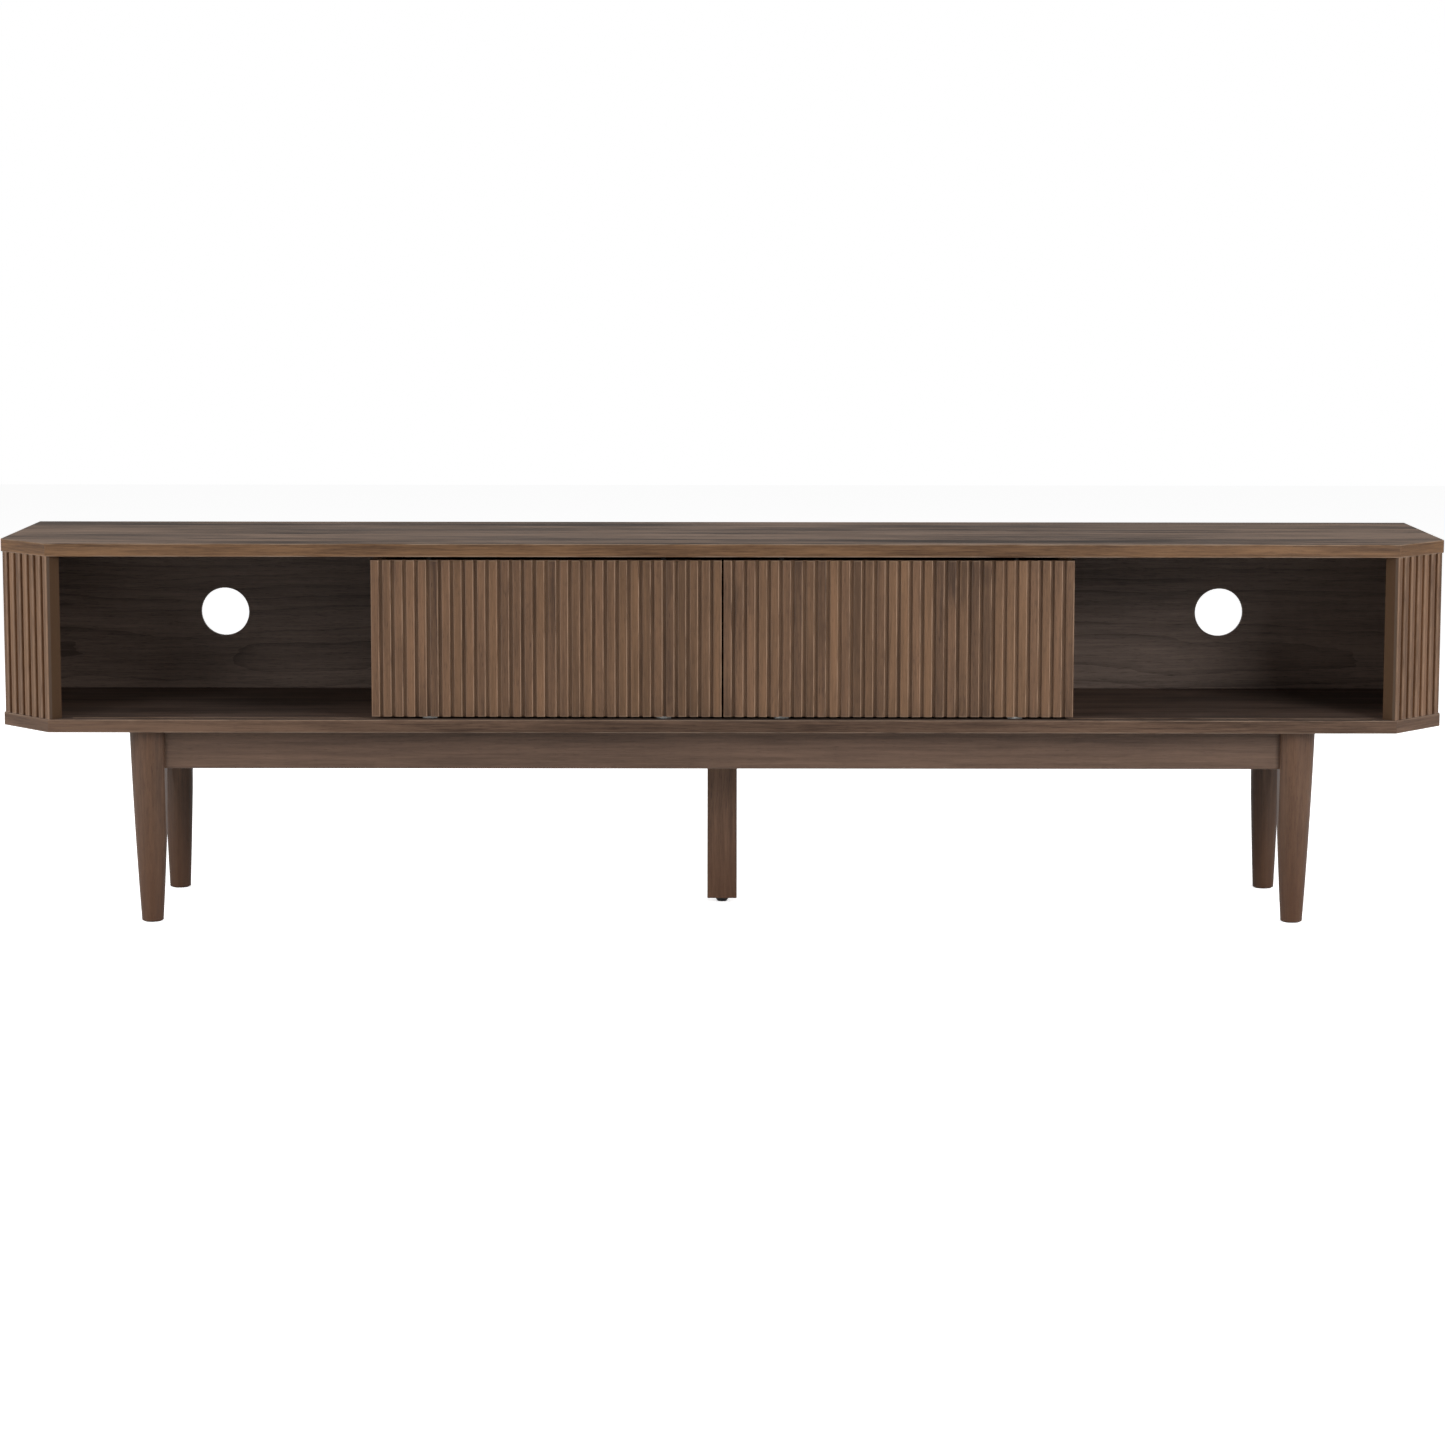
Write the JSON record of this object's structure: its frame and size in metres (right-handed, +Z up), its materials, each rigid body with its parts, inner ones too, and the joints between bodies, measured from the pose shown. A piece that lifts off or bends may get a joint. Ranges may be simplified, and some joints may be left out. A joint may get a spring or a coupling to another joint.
{
  "type": "media cabinet",
  "caption": "Low media cabinet with cut-off fluted corners, open bays at both ends, fluted sliding doors in one plane and a turned-leg frame with a centre support leg.",
  "frame": {"origin": "on the floor, under the middle of the cabinet's box", "axes": "+X to the right seen from the front, +Y to the back, +Z up; the doors face -Y"},
  "size_m": [2, 0.4, 0.53],
  "materials": {
    "walnut_boards": "satin",
    "walnut_slats": "satin",
    "walnut_panels": "satin",
    "walnut_frame": "satin",
    "beech_dowels": "raw",
    "zinc_steel": "zinc plated",
    "grey_plastic": "matte",
    "black_plastic": "matte",
    "felt": "felt"
  },
  "bodies": {
    "cabinet": {"back_panel": "walnut_panels", "back_panel_screws": "zinc_steel", "block_screws": "zinc_steel", "bottom_board": "walnut_boards", "cam_bolts": "zinc_steel", "cam_locks": "zinc_steel", "carcass_dowels": "beech_dowels", "centre_cross_rail": "walnut_frame", "centre_leg": "walnut_frame", "centre_leg_bolt": "zinc_steel", "corner_blocks": "walnut_frame", "frame_dowels": "beech_dowels", "front_apron": "walnut_frame", "front_left_leg": "walnut_frame", "front_right_leg": "walnut_frame", "left_corner_board": "walnut_panels", "left_corner_slats": "walnut_slats", "left_partition": "walnut_panels", "left_side_board": "walnut_panels", "left_side_rail": "walnut_frame", "left_side_slats": "walnut_slats", "leg_bolts": "zinc_steel", "leg_nuts": "zinc_steel", "leg_pads": "felt", "leg_washers": "zinc_steel", "leveller_insert": "zinc_steel", "rail_screws": "zinc_steel", "rear_apron": "walnut_frame", "rear_left_leg": "walnut_frame", "rear_right_leg": "walnut_frame", "right_corner_board": "walnut_panels", "right_corner_slats": "walnut_slats", "right_partition": "walnut_panels", "right_side_board": "walnut_panels", "right_side_rail": "walnut_frame", "right_side_slats": "walnut_slats", "top_board": "walnut_boards"},
    "left_door": {"left_door_board": "walnut_panels", "left_door_slats": "walnut_slats", "left_door_bottom_guides": "grey_plastic", "left_door_guide_screws": "zinc_steel", "left_door_top_guides": "black_plastic"},
    "right_door": {"right_door_board": "walnut_panels", "right_door_slats": "walnut_slats", "right_door_bottom_guides": "grey_plastic", "right_door_guide_screws": "zinc_steel", "right_door_top_guides": "black_plastic"},
    "levelling_foot": {"levelling_foot": "black_plastic"}
  },
  "joints": [
    {"name": "left_door_slide", "type": "slide", "parent": "cabinet", "child": "left_door", "axis": [-1, 0, 0], "range_m": [0, 0.42]},
    {"name": "right_door_slide", "type": "slide", "parent": "cabinet", "child": "right_door", "axis": [1, 0, 0], "range_m": [0, 0.42]},
    {"name": "levelling_foot_turn", "type": "hinge", "parent": "cabinet", "child": "levelling_foot", "pos_m": [0, 0.013, 0.007], "axis": [0, 0, 1], "continuous": true}
  ]
}
